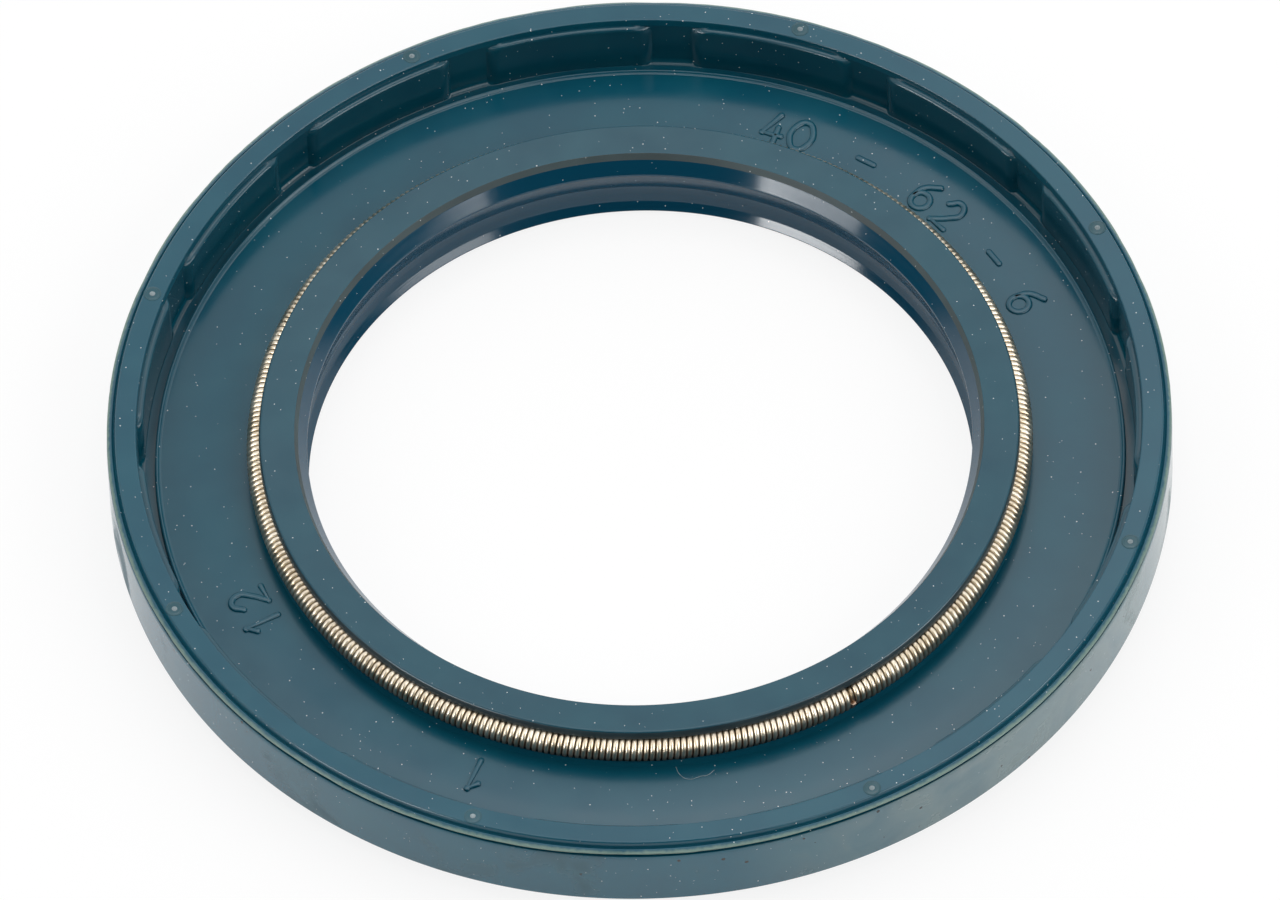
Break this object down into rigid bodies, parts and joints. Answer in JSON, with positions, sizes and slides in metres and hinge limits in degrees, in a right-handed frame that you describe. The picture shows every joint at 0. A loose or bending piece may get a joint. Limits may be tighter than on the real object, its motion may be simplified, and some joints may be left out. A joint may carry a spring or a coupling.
{
  "type": "radial shaft seal",
  "caption": "Radial shaft seal: rubber-covered outer wall with moulded pads inside, sealing lip loaded by a coiled garter spring, and a dust lip at the back.",
  "frame": {"origin": "on the shaft's axis, level with the lowest edge of the dust lip", "axes": "+Z along the shaft's axis, from the dust lip at the back towards the spring side"},
  "size_m": [0.062, 0.062, 0.0061],
  "materials": {
    "rubber": "smooth moulded nitrile rubber, blue-green",
    "ring_steel": "pressed cold-rolled sheet",
    "spring_steel": "bright drawn spring wire"
  },
  "bodies": {
    "root": {"seal_body": "rubber", "stiffening_ring": "ring_steel", "garter_spring": "spring_steel"}
  },
  "joints": []
}
